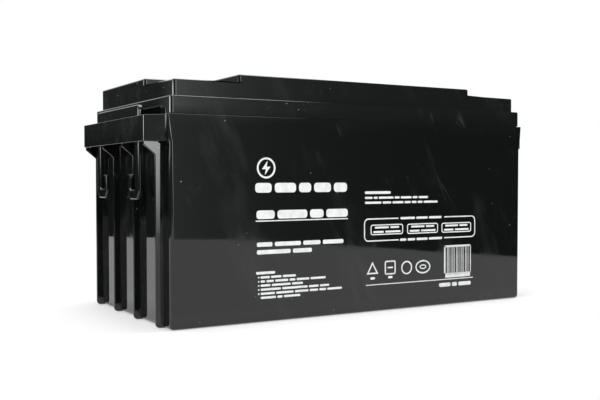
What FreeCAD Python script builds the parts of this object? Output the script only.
"""Sealed lead acid battery with two sliding carrying handles, in millimetres.

X runs along the case, -Y is the long front face, +Z is up. The origin is the centre of the underside.
"""
import FreeCAD, Part
import math
import os
import re
import Sketcher

doc = FreeCAD.newDocument("sealed_battery")
sheet = doc.addObject("Spreadsheet::Sheet", "Sizes")

SIZES = [
    # The container.
    ("body_length", 322.0),
    ("body_width", 167.0),
    ("wall", 3.6),
    ("floor_thick", 4.0),
    ("blend_height", 20.0),
    ("rim_height", 148.0),
    ("corner_round", 3.8),
    ("rim_round", 1.3),
    ("base_round", 2.5),
    ("ledge", 2.0),
    ("tongue_height", 4.0),
    ("partition", 2.4),
    ("cell_count", 6),
    # The carrying flange and the ribs on each end wall.
    ("flange_reach", 14.0),
    ("flange_inset", 13.1),
    ("flange_drop", 0.4),
    ("flange_height", 18.0),
    ("flange_wall", 3.0),
    ("flange_round", 2.4),
    ("rib_depth", 5.2),
    ("rib_thick", 3.0),
    ("rib_margin", 1.7),
    ("rib_count", 4),
    ("rib_round", 3.0),
    ("gusset_rise", 6.8),
    ("gusset_drop", 2.4),
    ("gusset_setback", 0.6),
    # The handles.
    ("hook_gap", 0.5),
    ("leg_width", 9.0),
    ("leg_thick", 3.2),
    ("bar_thick", 4.0),
    ("bar_height", 8.9),
    ("bar_round", 4.0),
    ("handle_gap", 1.5),
    ("foot_depth", 59.0),
    ("foot_chamfer_wide", 4.7),
    ("foot_chamfer_tall", 6.0),
    ("foot_thick", 7.3),
    ("hook_slot", 9.0),
    ("hook_thick", 5.2),
    ("hook_lean", 0.9),
    ("hook_height", 11.3),
    ("barb_reach", 5.5),
    ("barb_height", 2.0),
    ("slot_play", 0.6),
    ("catch_overlap", 3.0),
    # The cover.
    ("cover_inset", 0.5),
    ("seam", 0.4),
    ("skirt_height", 12.3),
    ("skirt_round", 2.0),
    ("deck_inset", 3.8),
    ("deck_height", 11.6),
    ("crown_height", 5.7),
    ("cover_wall", 3.0),
    ("lip", 1.5),
    ("glue_side", 0.2),
    ("glue_thick", 1.0),
    ("notch_length", 49.6),
    ("notch_depth", 56.9),
    ("notch_round", 2.0),
    ("edge_round", 1.2),
    ("block_height", 7.2),
    # The terminals.
    ("terminal_inset", 32.75),
    ("well_length", 36.0),
    ("well_width", 42.0),
    ("well_depth", 8.3),
    ("well_round", 4.0),
    ("cup_radius", 14.0),
    ("cup_depth", 6.0),
    ("post_radius", 6.5),
    ("post_play", 0.5),
    ("ring_wire", 1.0),
    ("insert_radius", 8.5),
    ("insert_flange", 11.0),
    ("insert_flange_thick", 3.0),
    ("insert_below_rim", 0.4),
    ("insert_chamfer", 0.8),
    ("thread_radius", 2.5),
    ("thread_depth", 11.0),
    # The valves and the strip over them.
    ("valve_y", 18.0),
    ("trough_end", 11.3),
    ("trough_width", 22.0),
    ("trough_depth", 12.0),
    ("strip_ledge", 2.5),
    ("strip_thick", 2.5),
    ("strip_play", 0.25),
    ("strip_round", 3.0),
    ("neck_radius", 5.5),
    ("neck_bore", 3.0),
    ("neck_height", 7.5),
    ("cap_wall", 1.8),
    ("cap_top", 1.5),
    ("cap_skirt", 5.5),
    ("cap_play", 0.05),
    ("cap_chamfer", 0.6),
    ("pad_gap", 0.3),
    # The plates of one cell.
    ("plate_room", 8.0),
    ("positive_thick", 3.4),
    ("negative_thick", 2.3),
    ("mat_side_gap", 0.9),
    ("mat_overlap", 3.0),
    ("mat_rise", 4.0),
    ("lug_width", 14.0),
    ("lug_thick", 1.8),
    ("strap_gap", 4.0),
    ("strap_width", 18.0),
    ("strap_thick", 6.0),
    ("tab_thick", 4.0),
    ("tab_height", 17.0),
    ("tab_headroom", 3.0),
    ("weld_radius", 5.5),
    ("weld_edge", 1.5),
]

# How near two places count as the same, and the least volume that a cut has to remove.
NEAR = 0.01
LEAST_CUT = 1e-3


def fill_sheet():
    """Writes each size in a row of its own, named by its alias."""
    for row, (name, size) in enumerate(SIZES, 1):
        sheet.set(f"A{row}", name)
        sheet.set(f"B{row}", str(size))
        sheet.setAlias(f"B{row}", name)
    doc.recompute()


def bound(text):
    """The same expression with the sheet named before each size."""
    return re.sub(r"\b[a-z_]+\b(?!\()", lambda word: "Sizes." + word.group(0), str(text))


def value(text):
    """What an expression comes to now."""
    return float(sheet.evalExpression(bound(text)))


fill_sheet()

# Levels and offsets that several pieces share, as expressions of the sizes.
CELL = "((body_length - 2 * wall - (cell_count - 1) * partition) / cell_count)"
PITCH = f"({CELL} + partition)"
HALF_L = "(body_length / 2)"
HALF_W = "(body_width / 2)"
CELL_HALF_W = f"({HALF_W} - wall)"
BLEND_BASE = "(rim_height - blend_height)"
TONGUE_TOP = "(rim_height + tongue_height)"

FLANGE_TOP = "(rim_height - flange_drop)"
FLANGE_BASE = f"({FLANGE_TOP} - flange_height)"
FLANGE_X = f"({HALF_L} + flange_reach)"
FLANGE_HALF_W = f"({HALF_W} - flange_inset)"
RIB_X = f"({HALF_L} + rib_depth)"
RIB_SPAN = f"(2 * ({FLANGE_HALF_W} - rib_margin) - rib_thick)"
RIB_PITCH = f"({RIB_SPAN} / (rib_count - 1))"

LEG_IN_X = f"({RIB_X} + handle_gap)"
LEG_OUT_X = f"({LEG_IN_X} + leg_thick)"
HOOK_OUT = f"({RIB_PITCH} / 2 + rib_thick / 2 + hook_gap + hook_lean)"
HOOK_IN = f"({HOOK_OUT} + hook_thick)"
LEG_IN = f"({HOOK_IN} + hook_slot)"
LEG_OUT = f"({LEG_IN} + leg_width)"

COVER_BASE = "(rim_height + seam)"
GROOVE_TOP = f"({TONGUE_TOP} + glue_thick)"
SKIRT_TOP = f"({COVER_BASE} + skirt_height)"
DECK_TOP = f"({SKIRT_TOP} + deck_height)"
CROWN_TOP = f"({DECK_TOP} + crown_height)"
SKIRT_X = f"({HALF_L} - cover_inset)"
SKIRT_Y = f"({HALF_W} - cover_inset)"
DECK_X = f"({SKIRT_X} - deck_inset)"
DECK_Y = f"({SKIRT_Y} - deck_inset)"
NOTCH_X = f"({DECK_X} - notch_length)"
NOTCH_Y = f"(notch_depth - {DECK_Y})"
BLOCK_TOP = f"({COVER_BASE} + block_height)"

TERMINAL_X = f"((cell_count - 1) / 2 * {PITCH})"
TERMINAL_Y = f"(terminal_inset - {HALF_W})"
WELL_FLOOR = f"({DECK_TOP} - well_depth)"
CUP_FLOOR = f"({WELL_FLOOR} - cup_depth)"
RING_ROOM = "(post_radius + 2 * ring_wire)"

TROUGH_HALF_L = f"({TERMINAL_X} + trough_end)"
TROUGH_FLOOR = f"({CROWN_TOP} - trough_depth)"
STRIP_BASE = f"({CROWN_TOP} - strip_thick)"
NECK_TOP = f"({TROUGH_FLOOR} + neck_height)"

POSITIVES = f"floor(({CELL} - negative_thick) / plate_room)"
PLATE_PITCH = f"(({CELL} - negative_thick) / {POSITIVES})"
MAT = f"(({PLATE_PITCH} - positive_thick - negative_thick) / 2)"
MAT_HALF_W = f"({CELL_HALF_W} - mat_side_gap)"
PLATE_HALF_W = f"({MAT_HALF_W} - mat_overlap)"
STRAP_BASE = "(rim_height - tab_headroom - tab_height)"
STRAP_TOP = f"({STRAP_BASE} + strap_thick)"
MAT_TOP = f"({STRAP_BASE} - strap_gap)"
PLATE_HEIGHT = f"({MAT_TOP} - mat_rise - floor_thick)"
WELD_Z = f"({STRAP_BASE} + tab_height - weld_radius - weld_edge)"


def cell_centre(cell):
    """The X of the middle of a cell, counted from 1 at the left end."""
    return f"(({cell} - (cell_count + 1) / 2) * {PITCH})"


def cells():
    """The numbers of the cells."""
    return range(1, int(value("cell_count")) + 1)


def new_body(label):
    """An empty body whose label is the piece's name."""
    body = doc.addObject("PartDesign::Body", label)
    body.Label = label
    return body


def new_sketch(body, plane, height="0"):
    """A sketch on one of the body's own planes, moved along that plane's normal."""
    sketch = body.newObject("Sketcher::SketchObject", body.Name + "_outline")
    origin_plane = [item for item in body.Origin.OriginFeatures if item.Role == plane][0]
    sketch.AttachmentSupport = [(origin_plane, "")]
    sketch.MapMode = "FlatFace"
    sketch.setExpression("AttachmentOffset.Base.z", bound(height))
    return sketch


def fix_point(sketch, item, end, place):
    """Ties one point of the sketch to a pair of expressions."""
    for kind, text in zip(("DistanceX", "DistanceY"), place):
        constraint = Sketcher.Constraint(kind, -1, 1, item, end, value(text))
        index = sketch.addConstraint(constraint)
        sketch.setExpression(f"Constraints[{index}]", bound(text))


def outline(sketch, points):
    """A closed outline of straight lines through points given as pairs of expressions."""
    places = [FreeCAD.Vector(value(x), value(y), 0) for x, y in points]
    first = sketch.GeometryCount
    last = len(points) - 1
    for index in range(last + 1):
        after = places[0 if index == last else index + 1]
        sketch.addGeometry(Part.LineSegment(places[index], after), False)
    for index in range(last + 1):
        after = first if index == last else first + index + 1
        sketch.addConstraint(Sketcher.Constraint("Coincident", first + index, 2, after, 1))
    for index, place in enumerate(points):
        fix_point(sketch, first + index, 1, place)


def rectangle(sketch, low_x, high_x, low_y, high_y):
    """A rectangle between two pairs of expressions."""
    outline(sketch, [(low_x, low_y), (high_x, low_y), (high_x, high_y), (low_x, high_y)])


def middle_rectangle(sketch, x, y, half_x, half_y):
    """A rectangle about a centre, with its half lengths given."""
    rectangle(sketch, f"{x} - {half_x}", f"{x} + {half_x}", f"{y} - {half_y}", f"{y} + {half_y}")


def both_ends(sketch, near_x, far_x, low_y, high_y):
    """One rectangle at each end of the case, the same distance from its middle."""
    rectangle(sketch, f"-{far_x}", f"-{near_x}", low_y, high_y)
    rectangle(sketch, near_x, far_x, low_y, high_y)


def circle(sketch, x, y, radius):
    """A circle with its centre and radius given as expressions."""
    centre = FreeCAD.Vector(value(x), value(y), 0)
    item = sketch.addGeometry(Part.Circle(centre, FreeCAD.Vector(0, 0, 1), value(radius)), False)
    fix_point(sketch, item, 3, (x, y))
    index = sketch.addConstraint(Sketcher.Constraint("Radius", item, value(radius)))
    sketch.setExpression(f"Constraints[{index}]", bound(radius))


def rounded_rectangle(sketch, half_x, half_y, radius):
    """A rectangle about the origin whose corners are arcs."""
    flat_x = f"({half_x} - {radius})"
    flat_y = f"({half_y} - {radius})"
    sides = [
        ((f"-{flat_x}", f"-{half_y}"), (flat_x, f"-{half_y}")),
        ((half_x, f"-{flat_y}"), (half_x, flat_y)),
        ((flat_x, half_y), (f"-{flat_x}", half_y)),
        ((f"-{half_x}", flat_y), (f"-{half_x}", f"-{flat_y}")),
    ]
    for side in sides:
        ends = [FreeCAD.Vector(value(x), value(y), 0) for x, y in side]
        sketch.addGeometry(Part.LineSegment(*ends), False)
    quarter = math.pi / 2
    corners = [(1, -1, 3), (1, 1, 0), (-1, 1, 1), (-1, -1, 2)]
    for side_x, side_y, turn in corners:
        centre = FreeCAD.Vector(side_x * value(flat_x), side_y * value(flat_y), 0)
        whole = Part.Circle(centre, FreeCAD.Vector(0, 0, 1), value(radius))
        sketch.addGeometry(Part.ArcOfCircle(whole, turn * quarter, (turn + 1) * quarter), False)
    for side in range(4):
        sketch.addConstraint(Sketcher.Constraint("Coincident", side, 2, side + 4, 1))
        sketch.addConstraint(Sketcher.Constraint("Coincident", side + 4, 2, (side + 1) % 4, 1))
    for side, (start, end) in enumerate(sides):
        fix_point(sketch, side, 1, start)
        fix_point(sketch, side, 2, end)
    for corner in range(4):
        index = sketch.addConstraint(Sketcher.Constraint("Radius", corner + 4, value(radius)))
        sketch.setExpression(f"Constraints[{index}]", bound(radius))


def pad(body, sketch, length, backwards=False):
    """Material raised from a sketch along its normal, or against it."""
    feature = body.newObject("PartDesign::Pad", body.Name + "_pad")
    feature.Profile = sketch
    feature.setExpression("Length", bound(length))
    feature.Reversed = backwards
    body.Tip = feature
    return feature


def pocket(body, sketch, depth, upwards=False):
    """Material cut from a sketch against its normal, or along it, with proof that it cut."""
    doc.recompute()
    before = body.Shape.Volume
    feature = body.newObject("PartDesign::Pocket", body.Name + "_pocket")
    feature.Profile = sketch
    feature.setExpression("Length", bound(depth))
    feature.Reversed = upwards
    body.Tip = feature
    doc.recompute()
    if not feature.Shape.Volume < before - LEAST_CUT:
        raise ValueError(f"{feature.Name} cuts nothing")
    return feature


def revolve(body, sketch):
    """A turned form: the sketch carried round the upright line through the sketch's origin."""
    feature = body.newObject("PartDesign::Revolution", body.Name + "_turned")
    feature.Profile = sketch
    feature.ReferenceAxis = (sketch, ["V_Axis"])
    feature.Angle = 360
    body.Tip = feature
    return feature


def repeat(body, features, sketch, axis, length, count):
    """Equal copies of the features in a row along one axis of a sketch."""
    pattern = body.newObject("PartDesign::LinearPattern", body.Name + "_row")
    pattern.Originals = features
    pattern.Direction = (sketch, [axis])
    pattern.setExpression("Length", bound(length))
    pattern.setExpression("Occurrences", bound(count))
    body.Tip = pattern
    return pattern


def round_edges(body, radius, wanted):
    """Rounds each edge of the body so far that the test accepts by its bounding box."""
    doc.recompute()
    base = body.Tip
    edges = enumerate(base.Shape.Edges, 1)
    names = [f"Edge{index}" for index, edge in edges if wanted(edge.BoundBox)]
    feature = body.newObject("PartDesign::Fillet", body.Name + "_round")
    feature.Base = (base, names)
    feature.setExpression("Radius", bound(radius))
    body.Tip = feature
    return feature


def lies_at(height, reach_x="0", reach_y="0"):
    """A test for flat edges at one height that lie as far out as one of the two reaches."""
    level, far_x, far_y = value(height), value(reach_x) - NEAR, value(reach_y) - NEAR

    def test(box):
        flat = box.ZLength < NEAR and abs(box.ZMin - level) < NEAR
        out_x = max(abs(box.XMin), abs(box.XMax)) > far_x
        out_y = max(abs(box.YMin), abs(box.YMax)) > far_y
        return flat and (out_x or out_y)

    return test


def stands_at(places, above="0"):
    """A test for upright edges at any of the places, at both ends of the case, that end above a level."""
    spots = [(abs(value(x)), value(y)) for x, y in places]
    level = value(above) + NEAR

    def test(box):
        if box.XLength > NEAR or box.YLength > NEAR or box.ZMax < level:
            return False
        return any(abs(abs(box.XMin) - x) < NEAR and abs(box.YMin - y) < NEAR for x, y in spots)

    return test


def over_cells(sketch, margin, low_y, high_y):
    """One rectangle over each cell, drawn in from the partitions by a margin."""
    half = f"({CELL} / 2 - {margin})"
    for cell in cells():
        centre = cell_centre(cell)
        rectangle(sketch, f"{centre} - {half}", f"{centre} + {half}", low_y, high_y)


def inside_edge(sketch, inset):
    """A rectangle drawn in from the outside of the container by an inset."""
    middle_rectangle(sketch, "0", "0", f"({HALF_L} - {inset})", f"({HALF_W} - {inset})")


def weld_side(wall):
    """The Y of the weld through a partition: they alternate, the first at the back."""
    return f"-{TERMINAL_Y}" if wall % 2 else TERMINAL_Y


def container_walls(body):
    """The outside of the box, whose corners grow sharper towards the rim, and the tongue on the rim."""
    base = new_sketch(body, "XY_Plane")
    rounded_rectangle(base, HALF_L, HALF_W, "corner_round")
    pad(body, base, BLEND_BASE)
    round_edges(body, "base_round", lies_at("0"))
    sections = []
    for height, radius in ((BLEND_BASE, "corner_round"), ("rim_height", "rim_round")):
        section = new_sketch(body, "XY_Plane", height)
        rounded_rectangle(section, HALF_L, HALF_W, radius)
        sections.append(section)
    loft = body.newObject("PartDesign::AdditiveLoft", "container_corner_blend")
    loft.Profile = sections[0]
    loft.Sections = [sections[1]]
    loft.Ruled = True
    body.Tip = loft
    tongue = new_sketch(body, "XY_Plane", "rim_height")
    inside_edge(tongue, "ledge")
    pad(body, tongue, "tongue_height")


def container_flange(body):
    """The hollow flange across each end wall, open below, with a slot for each leg of the handle."""
    flange = new_sketch(body, "XY_Plane", FLANGE_BASE)
    both_ends(flange, f"({HALF_L} - wall / 2)", FLANGE_X, f"-{FLANGE_HALF_W}", FLANGE_HALF_W)
    pad(body, flange, "flange_height")
    corners = [(FLANGE_X, f"-{FLANGE_HALF_W}"), (FLANGE_X, FLANGE_HALF_W)]
    round_edges(body, "flange_round", stands_at(corners))
    hollow = new_sketch(body, "XY_Plane", FLANGE_BASE)
    half_y = f"({FLANGE_HALF_W} - flange_wall)"
    both_ends(hollow, HALF_L, f"({FLANGE_X} - flange_wall)", f"-{half_y}", half_y)
    pocket(body, hollow, "flange_height - flange_wall", upwards=True)
    slots = new_sketch(body, "XY_Plane", FLANGE_TOP)
    near_x, far_x = f"({LEG_IN_X} - slot_play)", f"({LEG_OUT_X} + slot_play)"
    near_y, far_y = f"({HOOK_OUT} + catch_overlap)", f"({LEG_OUT} + slot_play)"
    both_ends(slots, near_x, far_x, near_y, far_y)
    both_ends(slots, near_x, far_x, f"-{far_y}", f"-{near_y}")
    pocket(body, slots, "flange_wall")


def container_ribs(body):
    """The row of ribs on each end wall, each with a gusset that spreads out to carry the flange."""
    rib = new_sketch(body, "XZ_Plane", f"{RIB_SPAN} / 2 + rib_thick / 2")
    gusset_x = f"({FLANGE_X} - gusset_setback)"
    gusset_top = f"({FLANGE_BASE} - gusset_drop)"
    root, web_top = f"({HALF_L} - wall / 2)", f"({FLANGE_TOP} - flange_wall / 2)"
    profile = [
        (root, "0"),
        (RIB_X, "0"),
        (RIB_X, f"{gusset_top} - gusset_rise"),
        (gusset_x, gusset_top),
        (gusset_x, web_top),
        (root, web_top),
    ]
    outline(rib, profile)
    outline(rib, [(f"-{x}", z) for x, z in reversed(profile)])
    ribs = pad(body, rib, "rib_thick", backwards=True)
    step = new_sketch(body, "XY_Plane")
    repeat(body, [ribs], step, "V_Axis", RIB_SPAN, "rib_count")
    face = value(RIB_X)

    def foot(box):
        across = box.XLength < NEAR and abs(abs(box.XMin) - face) < NEAR
        return across and box.ZMax < NEAR

    round_edges(body, "rib_round", foot)


def make_container():
    """The moulded box: walls, floor, partitions, end ribs and the hollow flange at each end."""
    body = new_body("container")
    container_walls(body)
    container_flange(body)
    container_ribs(body)
    room = new_sketch(body, "XY_Plane", TONGUE_TOP)
    over_cells(room, "0", f"-{CELL_HALF_W}", CELL_HALF_W)
    pocket(body, room, f"{TONGUE_TOP} - floor_thick")
    for wall in cells()[:-1]:
        opening = new_sketch(body, "YZ_Plane", f"{cell_centre(wall)} + {CELL} / 2 + partition")
        circle(opening, weld_side(wall), WELD_Z, "weld_radius")
        pocket(body, opening, "partition")
    return body


def cover_outside(body):
    """The skirt, and the deck and crown on it, with the two front corners cut down to the deck."""
    for height, half_x, half_y, rise in (
        (COVER_BASE, SKIRT_X, SKIRT_Y, "skirt_height"),
        (SKIRT_TOP, DECK_X, DECK_Y, "deck_height + crown_height"),
    ):
        tier = new_sketch(body, "XY_Plane", height)
        rounded_rectangle(tier, half_x, half_y, "skirt_round")
        pad(body, tier, rise)
    notch = new_sketch(body, "XY_Plane", CROWN_TOP)
    both_ends(notch, NOTCH_X, SKIRT_X, f"-{SKIRT_Y}", NOTCH_Y)
    pocket(body, notch, "crown_height")
    round_edges(body, "notch_round", stands_at([(DECK_X, NOTCH_Y), (NOTCH_X, f"-{DECK_Y}")]))
    round_edges(body, "edge_round", lies_at(SKIRT_TOP, SKIRT_X, SKIRT_Y))
    round_edges(body, "edge_round", lies_at(CROWN_TOP))


def cover_joint(body):
    """The groove for the tongue and the partitions, and a lip round the mouth of each cell."""
    mouth = new_sketch(body, "XY_Plane", COVER_BASE)
    half_y = f"({CELL_HALF_W} - glue_side - lip)"
    over_cells(mouth, "(glue_side + lip)", f"-{half_y}", half_y)
    pocket(body, mouth, "block_height", upwards=True)
    groove = new_sketch(body, "XY_Plane", COVER_BASE)
    inside_edge(groove, "(ledge - glue_side)")
    half_y = f"({CELL_HALF_W} - glue_side)"
    over_cells(groove, "glue_side", f"-{half_y}", half_y)
    pocket(body, groove, f"{GROOVE_TOP} - {COVER_BASE}", upwards=True)


def cover_chambers(body):
    """The room over each cell, whose ceiling follows the notches and the vent trough."""
    every, inner, ends = cells(), cells()[1:-1], (cells()[0], cells()[-1])
    inside_x = f"({DECK_X} - cover_wall)"
    inside_y = f"({DECK_Y} - cover_wall)"
    beside_trough = "(trough_width / 2 + strip_ledge + cover_wall)"
    crown_ceiling = f"{CROWN_TOP} - cover_wall"
    for low_y, high_y, ceiling, over in (
        (f"-{inside_y}", inside_y, f"{TROUGH_FLOOR} - cover_wall", every),
        (f"valve_y + {beside_trough}", inside_y, crown_ceiling, every),
        (f"-{inside_y}", f"valve_y - {beside_trough}", crown_ceiling, inner),
        (f"-{inside_y}", f"{NOTCH_Y} - cover_wall", f"{DECK_TOP} - cover_wall", ends),
        (f"{NOTCH_Y} + cover_wall", f"valve_y - {beside_trough}", crown_ceiling, ends),
    ):
        chamber = new_sketch(body, "XY_Plane", BLOCK_TOP)
        for cell in over:
            left = f"-{inside_x}" if cell == every[0] else f"{cell_centre(cell)} - {CELL} / 2"
            right = inside_x if cell == every[-1] else f"{cell_centre(cell)} + {CELL} / 2"
            rectangle(chamber, left, right, low_y, high_y)
        pocket(body, chamber, f"{ceiling} - {BLOCK_TOP}", upwards=True)


def cover_wells(body):
    """The two terminal wells, each with a cup for the resin, a seat for the ring and a bore for the post."""
    for side in ("-", ""):
        x = f"{side}{TERMINAL_X}"
        block = new_sketch(body, "XY_Plane", f"{WELL_FLOOR} - cover_wall")
        middle_rectangle(block, x, TERMINAL_Y, "(well_length / 2 + cover_wall)", "(well_width / 2 + cover_wall)")
        pad(body, block, "well_depth")
        boss = new_sketch(body, "XY_Plane", f"{CUP_FLOOR} - cover_wall")
        circle(boss, x, TERMINAL_Y, "cup_radius + cover_wall")
        pad(body, boss, "cup_depth")
        well = new_sketch(body, "XY_Plane", DECK_TOP)
        middle_rectangle(well, x, TERMINAL_Y, "well_length / 2", "well_width / 2")
        pocket(body, well, "well_depth")
        for height, radius, depth in (
            (WELL_FLOOR, "cup_radius", "cup_depth"),
            (CUP_FLOOR, RING_ROOM, "2 * ring_wire"),
            (CUP_FLOOR, "post_radius + post_play", "cover_wall"),
        ):
            bore = new_sketch(body, "XY_Plane", height)
            circle(bore, x, TERMINAL_Y, radius)
            pocket(body, bore, depth)
    corners = [(f"{TERMINAL_X} {sign_x} well_length / 2", f"{TERMINAL_Y} {sign_y} well_width / 2")
               for sign_x in "+-" for sign_y in "+-"]
    round_edges(body, "well_round", stands_at(corners, above=WELL_FLOOR))


def strip_corners(play):
    """The four corners of the strip, or of its recess where there is no play."""
    reach = f"strip_ledge - {play}"
    x = f"({TROUGH_HALF_L} + {reach})"
    return [(x, f"valve_y {sign} (trough_width / 2 + {reach})") for sign in "+-"]


def cover_trough(body):
    """The vent trough, the recess for the strip that covers it, and a bored neck over each cell."""
    recess = new_sketch(body, "XY_Plane", CROWN_TOP)
    half_x, half_y = f"({TROUGH_HALF_L} + strip_ledge)", "(trough_width / 2 + strip_ledge)"
    middle_rectangle(recess, "0", "valve_y", half_x, half_y)
    pocket(body, recess, "strip_thick")
    round_edges(body, "strip_round", stands_at(strip_corners("0"), above=STRIP_BASE))
    trough = new_sketch(body, "XY_Plane", STRIP_BASE)
    middle_rectangle(trough, "0", "valve_y", TROUGH_HALF_L, "trough_width / 2")
    pocket(body, trough, "trough_depth - strip_thick")
    necks = new_sketch(body, "XY_Plane", TROUGH_FLOOR)
    bores = new_sketch(body, "XY_Plane", NECK_TOP)
    for cell in cells():
        circle(necks, cell_centre(cell), "valve_y", "neck_radius")
        circle(bores, cell_centre(cell), "valve_y", "neck_bore")
    pad(body, necks, "neck_height")
    pocket(body, bores, "neck_height + cover_wall")


def make_cover():
    """The moulded lid, hollow over each cell."""
    body = new_body("cover")
    cover_outside(body)
    cover_joint(body)
    cover_chambers(body)
    cover_wells(body)
    cover_trough(body)
    return body


def make_adhesive():
    """The cured bead on top of the tongue and the partitions, one ladder-shaped piece."""
    body = new_body("cover_adhesive")
    bead = new_sketch(body, "XY_Plane", TONGUE_TOP)
    inside_edge(bead, "ledge")
    over_cells(bead, "0", f"-{CELL_HALF_W}", CELL_HALF_W)
    pad(body, bead, "glue_thick")
    return body


def make_valve_cover():
    """The strip that lies flush in the crown, with a pad over each valve cap."""
    body = new_body("valve_cover")
    strip = new_sketch(body, "XY_Plane", STRIP_BASE)
    reach = "strip_ledge - strip_play"
    middle_rectangle(strip, "0", "valve_y", f"({TROUGH_HALF_L} + {reach})", f"(trough_width / 2 + {reach})")
    pad(body, strip, "strip_thick")
    round_edges(body, "strip_round - strip_play", stands_at(strip_corners("strip_play")))
    pads = new_sketch(body, "XY_Plane", f"{NECK_TOP} + cap_top + pad_gap")
    for cell in cells():
        circle(pads, cell_centre(cell), "valve_y", "neck_radius")
    pad(body, pads, f"{STRIP_BASE} - {NECK_TOP} - cap_top - pad_gap")
    return body


def make_valve_cap(cell):
    """A rubber cup pushed over a vent neck, which lifts to let gas out and closes again."""
    body = new_body(f"valve_cap_{cell}")
    half = new_sketch(body, "XZ_Plane", "-valve_y")
    inner, outer = "(neck_radius + cap_play)", "(neck_radius + cap_play + cap_wall)"
    outline(half, [
        ("0", NECK_TOP),
        (inner, NECK_TOP),
        (inner, f"{NECK_TOP} - cap_skirt"),
        (outer, f"{NECK_TOP} - cap_skirt"),
        (outer, f"{NECK_TOP} + cap_top - cap_chamfer"),
        (f"{outer} - cap_chamfer", f"{NECK_TOP} + cap_top"),
        ("0", f"{NECK_TOP} + cap_top"),
    ])
    revolve(body, half)
    body.setExpression("Placement.Base.x", bound(cell_centre(cell)))
    return body


def make_plates(cell, polarity):
    """One polarity of one cell: plates, lugs and strap, with a tab to the next cell or a post."""
    positive = polarity == "positive"
    body = new_body(f"{polarity}_plates_{cell}")
    centre = cell_centre(cell)
    count = POSITIVES if positive else f"({POSITIVES} + 1)"
    thick = f"{polarity}_thick"
    front = (cell % 2 == 1) == positive
    strap_y = TERMINAL_Y if front else f"-{TERMINAL_Y}"
    foot = f"(floor_thick + {MAT})" if positive else "floor_thick"
    span = f"(({count} - 1) * {PLATE_PITCH})"
    first = f"({centre} - {span} / 2)"

    strap = new_sketch(body, "XY_Plane", STRAP_BASE)
    ends = [f"{first} - {thick} / 2", f"{centre} + {span} / 2 + {thick} / 2"]
    has_post = cell == (cells()[0] if positive else cells()[-1])
    wall_side = "-" if positive else "+"
    if not has_post:
        ends[0 if positive else 1] = f"{centre} {wall_side} {CELL} / 2"
    rectangle(strap, *ends, f"{strap_y} - strap_width / 2", f"{strap_y} + strap_width / 2")
    pad(body, strap, "strap_thick")
    lug = new_sketch(body, "XY_Plane", f"{foot} + {PLATE_HEIGHT} - lug_thick")
    middle_rectangle(lug, first, strap_y, "lug_thick / 2", "lug_width / 2")
    lugs = pad(body, lug, f"{STRAP_BASE} - {foot} - {PLATE_HEIGHT} + 2 * lug_thick")
    plate = new_sketch(body, "XY_Plane", foot)
    middle_rectangle(plate, first, "0", f"{thick} / 2", PLATE_HALF_W)
    plates = pad(body, plate, PLATE_HEIGHT)
    repeat(body, [lugs, plates], plate, "H_Axis", span, count)
    if has_post:
        post = new_sketch(body, "XY_Plane", STRAP_TOP)
        circle(post, centre, TERMINAL_Y, "post_radius")
        pad(body, post, f"{CUP_FLOOR} - {STRAP_TOP}")
    else:
        tab = new_sketch(body, "XY_Plane", STRAP_BASE)
        tab_x = f"({centre} {wall_side} ({CELL} / 2 - tab_thick / 2))"
        middle_rectangle(tab, tab_x, strap_y, "tab_thick / 2", "strap_width / 2")
        pad(body, tab, "tab_height")
    return body


def make_separators(cell):
    """The glass mat of one cell: a folded sheet round each positive plate."""
    body = new_body(f"separators_{cell}")
    fold = new_sketch(body, "XZ_Plane", f"-{MAT_HALF_W}")
    middle = f"({cell_centre(cell)} - ({POSITIVES} - 1) / 2 * {PLATE_PITCH})"
    inner, outer = "(positive_thick / 2)", f"(positive_thick / 2 + {MAT})"
    bend = f"floor_thick + {MAT}"
    outline(fold, [
        (f"{middle} - {outer}", "floor_thick"),
        (f"{middle} + {outer}", "floor_thick"),
        (f"{middle} + {outer}", MAT_TOP),
        (f"{middle} + {inner}", MAT_TOP),
        (f"{middle} + {inner}", bend),
        (f"{middle} - {inner}", bend),
        (f"{middle} - {inner}", MAT_TOP),
        (f"{middle} - {outer}", MAT_TOP),
    ])
    mat = pad(body, fold, f"2 * {MAT_HALF_W}")
    repeat(body, [mat], fold, "H_Axis", f"({POSITIVES} - 1) * {PLATE_PITCH}", POSITIVES)
    return body


def make_weld(wall):
    """The lead that joins two straps through the hole in their partition."""
    weld = doc.addObject("Part::Cylinder", f"intercell_weld_{wall}")
    weld.Label = weld.Name
    weld.setExpression("Radius", bound("weld_radius"))
    weld.setExpression("Height", bound("partition"))
    along_x = FreeCAD.Rotation(FreeCAD.Vector(0, 1, 0), 90)
    weld.Placement = FreeCAD.Placement(FreeCAD.Vector(), along_x)
    weld.setExpression("Placement.Base.x", bound(f"{cell_centre(wall)} + {CELL} / 2"))
    weld.setExpression("Placement.Base.y", bound(weld_side(wall)))
    weld.setExpression("Placement.Base.z", bound(WELD_Z))
    return weld


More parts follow.
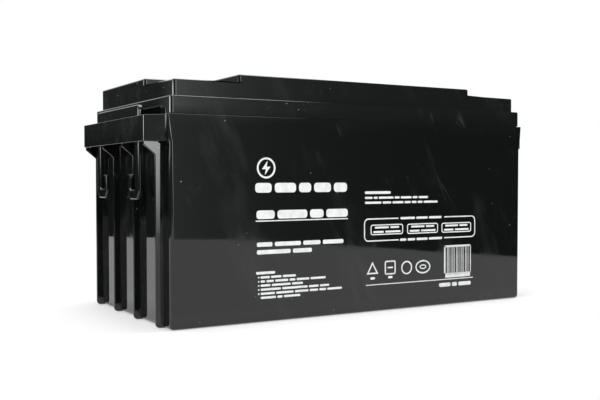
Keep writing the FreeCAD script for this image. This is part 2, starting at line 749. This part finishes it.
def make_terminal(polarity, side):
    """The threaded insert, its rubber ring and the resin round it, at one end of the case."""
    x = f"{side}{TERMINAL_X}"
    insert = new_body(f"terminal_{polarity}")
    half = new_sketch(insert, "XZ_Plane", f"-{TERMINAL_Y}")
    top = f"({DECK_TOP} - insert_below_rim)"
    shoulder = f"({CUP_FLOOR} + insert_flange_thick)"
    outline(half, [
        ("0", CUP_FLOOR),
        ("insert_flange", CUP_FLOOR),
        ("insert_flange", shoulder),
        ("insert_radius", shoulder),
        ("insert_radius", f"{top} - insert_chamfer"),
        ("insert_radius - insert_chamfer", top),
        ("thread_radius + insert_chamfer", top),
        ("thread_radius", f"{top} - insert_chamfer"),
        ("thread_radius", f"{top} - thread_depth"),
        ("0", f"{top} - thread_depth - thread_radius / 2"),
    ])
    revolve(insert, half)
    resin = new_body(f"terminal_epoxy_{polarity}")
    section = new_sketch(resin, "XZ_Plane", f"-{TERMINAL_Y}")
    outline(section, [
        ("insert_flange", CUP_FLOOR),
        ("cup_radius", CUP_FLOOR),
        ("cup_radius", WELL_FLOOR),
        ("insert_radius", WELL_FLOOR),
        ("insert_radius", shoulder),
        ("insert_flange", shoulder),
    ])
    revolve(resin, section)
    for piece in (insert, resin):
        piece.setExpression("Placement.Base.x", bound(x))
    ring = doc.addObject("Part::Torus", f"terminal_o_ring_{polarity}")
    ring.Label = ring.Name
    ring.setExpression("Radius1", bound("post_radius + ring_wire"))
    ring.setExpression("Radius2", bound("ring_wire"))
    ring.setExpression("Placement.Base.x", bound(x))
    ring.setExpression("Placement.Base.y", bound(TERMINAL_Y))
    ring.setExpression("Placement.Base.z", bound(f"{CUP_FLOOR} - ring_wire"))
    return [insert, resin, ring]


def make_handle(name, turned):
    """A flat moulded U whose legs slide in the flange, with a sprung hook on each foot."""
    body = new_body(name)
    foot = f"({FLANGE_TOP} - foot_depth)"
    crotch = f"({foot} + foot_thick)"
    tip = f"({crotch} + hook_height)"
    top = f"({FLANGE_TOP} + bar_height)"
    side = [
        (LEG_OUT, f"{foot} + foot_chamfer_tall"),
        (f"{LEG_OUT} - foot_chamfer_wide", foot),
        (f"{HOOK_OUT} - hook_lean + foot_chamfer_wide", foot),
        (f"{HOOK_OUT} - hook_lean", f"{foot} + foot_chamfer_tall"),
        (HOOK_OUT, tip),
        (f"{HOOK_IN} + barb_reach", tip),
        (HOOK_IN, f"{tip} - barb_height"),
        (HOOK_IN, crotch),
        (LEG_IN, crotch),
        (LEG_IN, FLANGE_TOP),
    ]
    mirrored = [(f"-({y})", z) for y, z in reversed(side)]
    legs = new_sketch(body, "YZ_Plane", f"-{LEG_OUT_X}")
    outline(legs, [(LEG_OUT, top)] + side + mirrored + [(f"-{LEG_OUT}", top)])
    pad(body, legs, "leg_thick")
    bar = new_sketch(body, "YZ_Plane", f"-{LEG_OUT_X}")
    rectangle(bar, f"-{LEG_OUT}", LEG_OUT, FLANGE_TOP, top)
    pad(body, bar, "bar_thick")
    bar_top, bar_end = value(top), value(LEG_OUT)

    def bar_corner(box):
        across = box.YLength < NEAR and box.ZLength < NEAR
        return across and abs(box.ZMin - bar_top) < NEAR and abs(abs(box.YMin) - bar_end) < NEAR

    round_edges(body, "bar_round", bar_corner)
    if turned:
        half_turn = FreeCAD.Rotation(FreeCAD.Vector(0, 0, 1), 180)
        body.Placement = FreeCAD.Placement(FreeCAD.Vector(), half_turn)
    return body


def make_everything():
    """Every sub-part of the battery."""
    pieces = [make_container(), make_cover(), make_adhesive(), make_valve_cover()]
    for cell in cells():
        pieces.append(make_valve_cap(cell))
        pieces.append(make_plates(cell, "positive"))
        pieces.append(make_plates(cell, "negative"))
        pieces.append(make_separators(cell))
    pieces += [make_weld(wall) for wall in cells()[:-1]]
    pieces += make_terminal("positive", "-") + make_terminal("negative", "")
    pieces += [make_handle("handle_left", False), make_handle("handle_right", True)]
    return pieces


def write_parts(pieces):
    """Checks the whole document, then writes one file for each sub-part."""
    doc.recompute()
    for item in doc.Objects:
        if "Invalid" in item.State or "Error" in item.State:
            raise ValueError(f"{item.Name} failed: {item.State}")
    for piece in pieces:
        if piece.Shape.isNull() or not piece.Shape.isValid():
            raise ValueError(f"{piece.Label} has no valid shape")
    os.makedirs("parts", exist_ok=True)
    for piece in pieces:
        piece.Shape.exportStep(f"parts/{piece.Label}.step")
        print(piece.Label, len(piece.Shape.Solids), round(piece.Shape.Volume), "cubic mm")


write_parts(make_everything())
